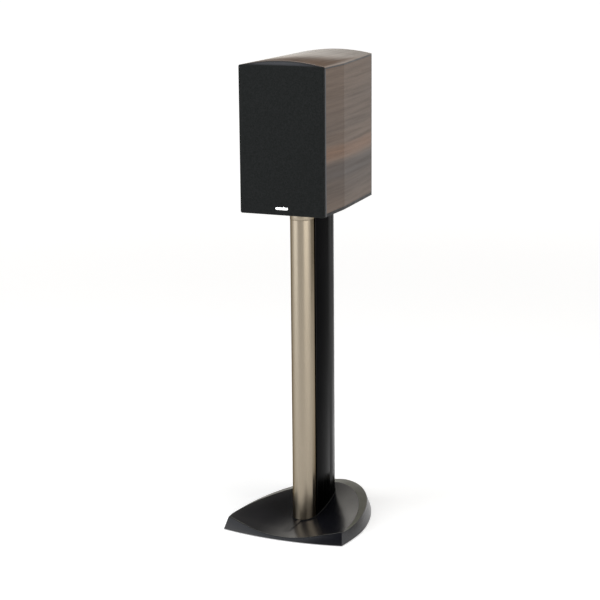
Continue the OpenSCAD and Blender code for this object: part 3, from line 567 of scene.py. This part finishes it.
def make_grille_cloth():
    """The cloth as one thin sheet that wraps the frame's edges."""
    bend = CLOTH_EDGE - CLOTH_T
    outer, inner = [], []
    for i in range(CORNER_ARC + 1):
        a = math.radians(90 * i / CORNER_ARC)
        outer.append((CLOTH_EDGE * (1 - math.sin(a)), FACE_Y + CLOTH_EDGE * (1 - math.cos(a))))
        inner.append((CLOTH_T + bend * (1 - math.sin(a)), FACE_Y + CLOTH_T + bend * (1 - math.cos(a))))
    profile = outer + [(0.0, GRILLE_BACK), (CLOTH_T, GRILLE_BACK)] + inner[::-1]
    loops = [front_loop(CLOTH_LO, CLOTH_HI, inset, CLOTH_CORNER, y) for inset, y in profile]
    cloth = new_piece("grille_cloth_wrap", *loft(loops), FINISHES["grille_fabric"], GRILLE,
                      ["grille_cloth"], "grille_fabric", sharp=50)


def make_badge():
    """A plain crowned pill of polished metal."""
    low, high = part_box("grille_badge")
    depth = high.y - low.y
    crown = ((0.0, 0.0), (0.0, 0.45), (0.08, 0.7), (0.25, 0.86), (0.8, 0.95), (1.8, 1.0))
    loops = [front_loop(low, high, inset * MM, 2.9 * MM, high.y - depth * rise) for inset, rise in crown]
    new_piece("grille_badge_pill", *loft(loops), FINISHES["badge_metal"], GRILLE, ["grille_badge"],
              "badge_metal", sharp=60)


make_grille_cloth()
make_badge()

# ---------- woofer surround and spider: sectors that stretch between basket and cone ----------

BAFFLE_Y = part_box("front_baffle")[0].y
ROLL_R, ROLL_MID, RUBBER_T, ROLL_RISE = 6.4 * MM, 68 * MM, 0.8 * MM, 0.4
LAND_IN, LAND_OUT, LAND_Y = 58.6 * MM, 77.4 * MM, BAFFLE_Y + 2 * MM
SPIDER_IN, SPIDER_HELD, SPIDER_OUT, SPIDER_T = 13.2 * MM, 16 * MM, 50 * MM, 0.45 * MM
SPIDER_Y = BAFFLE_Y + 36 * MM
SPIDER_WAVES, SPIDER_WAVE = 4, 1.2 * MM
SECTORS, SECTOR_STEPS = 20, 5


def roll_profile():
    """(radius, y) round the half roll's closed section, with its two flat lands."""
    steps = 16
    front = [(LAND_OUT, LAND_Y - RUBBER_T)]
    back = [(LAND_OUT, LAND_Y)]
    for i in range(steps + 1):
        a = math.pi * i / steps
        rise = ROLL_RISE * math.sin(a)
        front.append((ROLL_MID + ROLL_R * math.cos(a), LAND_Y - RUBBER_T - ROLL_R * rise))
        back.append((ROLL_MID + (ROLL_R - RUBBER_T) * math.cos(a), LAND_Y - (ROLL_R - RUBBER_T) * rise))
    front.append((LAND_IN, LAND_Y - RUBBER_T))
    back.append((LAND_IN, LAND_Y))
    return front + back[::-1]


def spider_profile():
    """(radius, y) of the corrugated cloth disc between the basket's ring and the cone's neck."""
    steps = 64
    top = []
    for i in range(steps + 1):
        u = i / steps
        wave = SPIDER_WAVE * math.sin(2 * math.pi * SPIDER_WAVES * u)
        top.append((SPIDER_IN + (SPIDER_OUT - SPIDER_IN) * u, SPIDER_Y - 1.4 * MM - wave))
    top += [(51 * MM, SPIDER_Y - 0.5 * MM), (53.4 * MM, SPIDER_Y - 0.5 * MM)]
    return top + [(r, y + SPIDER_T) for r, y in reversed(top)]


def on_ring(radius, y, angle):
    """A point on a circle round the woofer's axis."""
    return (WOOFER_X + radius * math.cos(angle), y, WOOFER_Z + radius * math.sin(angle))


def stretching_ring(name, section, slot):
    """A ring in sectors, each reaching from its outer edge at the basket to its inner edge at the cone."""
    span = 2 * math.pi / SECTORS
    for k in range(SECTORS):
        angles = [span * (k + i / SECTOR_STEPS) for i in range(SECTOR_STEPS + 1)]
        loops = [[on_ring(r, y, a) for r, y in section] for a in angles]
        sector = new_piece(f"{name}_{k + 1:02d}", *loft(loops), FINISHES[slot], None, [name], slot, sharp=50)
        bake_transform(sector)


stretching_ring("woofer_surround", roll_profile(), "rubber")
stretching_ring("woofer_spider", spider_profile(), "spider_cloth")

# ---------- stand: pillars ----------

nose_lo, nose_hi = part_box("front_pillar")
tail_lo, tail_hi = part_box("rear_pillar")
HALF_W = nose_hi.x
SEAM_Y = nose_hi.y
NOSE_B = SEAM_Y - nose_lo.y
TAIL_Y = SEAM_Y + 1 * MM
TAIL_B = tail_hi.y - TAIL_Y
GROOVE_Y = SEAM_Y + 9.5 * MM
WALL = 2.8 * MM
NECK = 12 * MM
NOSE_CORNER, TAIL_CORNER = 1.2 * MM, 2.4 * MM


def rounded(points, radius):
    """A closed outline with its corners of 35 degrees and more turned into small curves."""
    steps, least = 5, 35
    out, n = [], len(points)
    for i, p in enumerate(points):
        a, b, c = (Vector(points[j % n]) for j in (i - 1, i, i + 1))
        u, v = (a - b), (c - b)
        turn = math.degrees(math.pi - u.angle(v))
        if turn < least:
            out.append(tuple(p))
            continue
        reach = min(radius, 0.45 * u.length, 0.45 * v.length)
        start, end = b + u.normalized() * reach, b + v.normalized() * reach
        for k in range(steps + 1):
            t = k / steps
            q = start * (1 - t) ** 2 + b * 2 * t * (1 - t) + end * t * t
            out.append(tuple(q))
    return out


def nose_outline(grow, back=0.0):
    """Half an ellipse with a flat back, from its left end to its right."""
    steps = 96
    points = []
    for i in range(steps + 1):
        t = math.pi * (1 - i / steps)
        points.append(((HALF_W + grow) * math.cos(t), SEAM_Y - back - (NOSE_B + grow - back) * math.sin(t)))
    return points


def tail_outline(grow, front):
    """The long half of a teardrop, cut off square at the groove."""
    steps = 90
    b = TAIL_B + grow
    start = math.asin((GROOVE_Y + front - TAIL_Y) / b)
    side = []
    for i in range(steps + 1):
        t = start + (math.pi / 2 - start) * i / steps
        side.append(((HALF_W + grow) * math.cos(t), TAIL_Y + b * math.sin(t)))
    return side + [(-x, y) for x, y in side[-2::-1]]


def at_height(outline, z):
    return [(x, y, z) for x, y in outline]


def tube(outer, inner, z0, z1, lip):
    """A hollow extrusion with its two ends' outer edges eased."""
    centre = Vector((sum(x for x, y in outer), sum(y for x, y in outer))) / len(outer)
    end = [tuple(Vector(p) + (centre - Vector(p)).normalized() * lip) for p in outer]
    return loft([
        at_height(end, z0), at_height(outer, z0 + lip), at_height(outer, z1 - lip), at_height(end, z1),
        at_height(inner, z1), at_height(inner, z0),
    ], cyclic=True)


def make_pillars():
    lip = 0.4 * MM
    outer, inner = (rounded(nose_outline(-g, g), NOSE_CORNER) for g in (0, WALL))
    new_piece("front_pillar_skin", *tube(outer, inner, nose_lo.z, nose_hi.z, lip), FINISHES["champagne"],
              ROOT, ["front_pillar"], "champagne", sharp=40)
    outer, inner = (rounded(tail_outline(-g, g), TAIL_CORNER) for g in (0, WALL))
    new_piece("rear_pillar_skin", *tube(outer, inner, tail_lo.z, tail_hi.z, lip), FINISHES["black_anodised"],
              ROOT, ["rear_pillar"], "black_anodised", sharp=40)
    # The neck at the groove's bottom is coloured near-black matte: painted shade standing for the groove's
    # shadow.
    neck = [(-NECK, SEAM_Y), (NECK, SEAM_Y), (NECK, GROOVE_Y), (-NECK, GROOVE_Y)]
    spine = [at_height(neck, tail_lo.z), at_height(neck, tail_hi.z)]
    new_piece("pillar_spine", *loft(spine), FINISHES["groove_painted_shade"], ROOT, (), "black_anodised", sharp=32)


def make_pillar_cap():
    """The bright end piece on the front pillar."""
    low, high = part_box("pillar_cap")
    grow = high.x - HALF_W
    outline = rounded(nose_outline(grow), NOSE_CORNER)
    middle = Vector((0, SEAM_Y - NOSE_B * 0.4))
    lower = [(0.9, low.z), (0.3, low.z + 0.3 * MM), (0.0, low.z + 0.9 * MM)]
    upper = [(0.0, high.z - 0.9 * MM), (0.3, high.z - 0.3 * MM), (0.9, high.z)]
    loops = []
    for inset, z in lower + upper:
        ring = [tuple(Vector(p) + (middle - Vector(p)).normalized() * inset * MM) for p in outline]
        loops.append(at_height(ring, z))
    new_piece("pillar_cap_block", *loft(loops), FINISHES["champagne"], ROOT, ["pillar_cap"], "champagne",
              sharp=40)


make_pillars()
make_pillar_cap()

# ---------- stand: base ----------

base_lo, base_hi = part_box("base_shell")
BASE_W, BASE_FRONT, BASE_BACK = base_hi.x, base_lo.y, base_hi.y
BASE_LOW, RIM_Z = base_lo.z, base_hi.z
DISH_Z = 8.5 * MM
CORNER_X, CORNER_SET = 146.2 * MM, 17.8 * MM
CORNER_Y = BASE_FRONT + CORNER_SET
FRONT_R = (CORNER_X ** 2 + CORNER_SET ** 2) / (2 * CORNER_SET)
LEAN = 0.52
RIM_LOW = 24.5 * MM
RIM_X, RIM_WIDE_Y, RIM_SET, RIM_POWER = 142.7 * MM, -112.5 * MM, 10.5 * MM, 1.78
INNER_X, INNER_WIDE_Y, INNER_BACK, INNER_POWER = 141.2 * MM, -148.5 * MM, 150 * MM, 1.67
FLOOR_WIDE_Y, FLOOR_POWER = 110.5 * MM, 1.68
TOP_CORNER = (140.2 * MM, CORNER_Y + LEAN * 28 * MM)
FRONT_STEPS, CORNER_STEPS, BACK_STEPS = 48, 16, 90


def wedge_line(w, y_wide, y_back, power, xc, yc):
    """A side and back line: a parabola from the front corner to the widest place, then a rounded wedge."""
    points = []
    for i in range(CORNER_STEPS):
        u = 1 - i / CORNER_STEPS
        points.append((w - (w - xc) * u * u, y_wide + (yc - y_wide) * u))
    for i in range(BACK_STEPS + 1):
        t = math.pi / 2 * i / BACK_STEPS
        across, along = max(0.0, math.cos(t)) ** (2 / power), math.sin(t) ** (2 / power)
        points.append((w * across, y_wide + (y_back - y_wide) * along))
    return points


def dish_rise(s):
    """The dish's rise from its lowest line, 0, to the rim, 1."""
    return s ** 2.3 * (1 + 1.3 * (1 - s))


def dish_at(x, y):
    """The height of the dish's surface."""
    reach = abs(x) / INNER_X
    if y > INNER_WIDE_Y:
        back = (y - INNER_WIDE_Y) / (INNER_BACK - INNER_WIDE_Y)
        reach = (reach ** INNER_POWER + back ** INNER_POWER) ** (1 / INNER_POWER)
    return DISH_Z + (RIM_Z - DISH_Z) * dish_rise(min(1.0, reach))


def front_floor(x):
    """The front edge on the floor, an arc from corner to corner, as y."""
    return BASE_FRONT + FRONT_R - math.sqrt(FRONT_R ** 2 - x * x)


def front_top(x):
    """The front edge's upper line, leaning back and rising to the corners."""
    z = DISH_Z + (RIM_Z - DISH_Z) * dish_rise(abs(x) / CORNER_X)
    return (x * (1 - 0.041 * z / (28 * MM)), front_floor(x) + LEAN * z, z)


def whole(half):
    """A closed line from its half on the right."""
    return half + [(-x, y, z) for x, y, z in half[-2:0:-1]]


def toward(loop, other, distance):
    """Each point of a loop moved towards the same point of another loop."""
    out = []
    for p, q in zip(loop, other):
        p, q = Vector(p), Vector(q)
        gap = (q - p).length
        out.append(tuple(p + (q - p) * min(0.33, distance / gap if gap > 1e-9 else 0)))
    return out


def eased(before, edge, after, size):
    """Three loops in place of a sharp one, for a small round edge."""
    a, b = toward(edge, before, size), toward(edge, after, size)
    middle = [tuple(Vector(e) * 0.5 + (Vector(p) + Vector(q)) * 0.25) for e, p, q in zip(edge, a, b)]
    return [a, middle, b]


def make_base():
    xs = [CORNER_X * i / FRONT_STEPS for i in range(FRONT_STEPS)]
    floor_side = wedge_line(BASE_W, BASE_FRONT + FLOOR_WIDE_Y, BASE_BACK, FLOOR_POWER, CORNER_X, CORNER_Y)
    rim_side = wedge_line(RIM_X, RIM_WIDE_Y, BASE_BACK - RIM_SET, RIM_POWER, *TOP_CORNER)
    inner_side = wedge_line(INNER_X, INNER_WIDE_Y, INNER_BACK, INNER_POWER, 139.2 * MM,
                            TOP_CORNER[1] + 1.6 * MM)
    rim_rise = [max(0.0, (-105 * MM - y) / (62.6 * MM)) ** 2 for x, y in rim_side]
    floor_line = whole(
        [(x, front_floor(x), BASE_LOW) for x in xs] + [(x, y, BASE_LOW) for x, y in floor_side])
    rim_line = whole([front_top(x) for x in xs] + [
        (x, y, RIM_LOW + (RIM_Z - RIM_LOW) * rise) for (x, y), rise in zip(rim_side, rim_rise)])
    inner_line = whole([
        (p[0] * 0.985, p[1] + 1.6 * MM, min(p[2] + 0.1 * MM, RIM_Z)) for p in map(front_top, xs)
    ] + [(x, y, RIM_Z) for x, y in inner_side])

    def dish_line(s):
        """The rim's inner line shrunk towards the middle, on the dish's surface."""
        points = []
        for x, y, z in inner_line:
            cy = min(60 * MM, max(-160 * MM, y))
            points.append((x * s, cy + (y - cy) * s, dish_at(x * s, cy + (y - cy) * s)))
        return points

    def recess(z):
        """The hollow under the base, a smaller copy of its outline."""
        return [(x * 0.88, (y - 8 * MM) * 0.88 + 8 * MM, z) for x, y, _ in floor_line]

    shrinks = [0.985, 0.96, 0.93] + [0.9 - 0.045 * i for i in range(20)]
    dish = [dish_line(s) for s in shrinks]
    loops = [recess(6 * MM), recess(BASE_LOW)]
    loops += eased(loops[-1], floor_line, rim_line, 0.8 * MM)
    loops += eased(floor_line, rim_line, inner_line, 0.9 * MM)
    loops += eased(rim_line, inner_line, dish[0], 0.7 * MM)
    loops += dish
    # The rim band gets the lighter olive-grey colour: a painted reflection on the glossy black base.
    band = (FINISHES["base_rim_painted_reflection"], range(7 * len(rim_line), 8 * len(rim_line)))
    new_piece("base_dish", *loft(loops), FINISHES["base_gloss"], ROOT, ["base_shell"], "base_gloss",
              sharp=38, accent=band)


def make_foot_collar():
    """A thin rubber bead round both pillars, following the dish."""

    def outline(grow):
        return rounded(nose_outline(grow)[1:-1] + tail_outline(grow, TAIL_Y - GROOVE_Y), 1 * MM)

    def ring(grow, lift):
        return [(x, y, dish_at(x, y) + lift) for x, y in outline(grow)]

    profile = [(0.1, -2.0), (2.4, -2.0), (2.4, 1.2), (2.0, 1.9), (1.2, 2.3), (0.5, 2.3), (0.1, 2.0)]
    loops = [ring(g * MM, up * MM) for g, up in profile]
    new_piece("foot_collar_bead", *loft(loops, cyclic=True), FINISHES["rubber"], ROOT, ["foot_collar"],
              "rubber", sharp=50)


make_base()
make_foot_collar()

# ---------- panels: the CAD nodes with their edges eased ----------


EASED_EDGES = {
    "left_side_panel": 0.5, "right_side_panel": 0.5, "top_panel": 0.45, "bottom_panel": 0.6, "top_plate": 0.6,
}


def ease_panel(name, width):
    panel = nodes[name]
    weld = panel.modifiers.new("weld", "WELD")
    weld.merge_threshold = 1e-6
    bevel = panel.modifiers.new("bevel", "BEVEL")
    bevel.width = width
    bevel.segments = 2
    bevel.limit_method = "ANGLE"
    bevel.angle_limit = math.radians(28)
    bevel.harden_normals = True


for panel_name, edge_width in EASED_EDGES.items():
    ease_panel(panel_name, edge_width * MM)
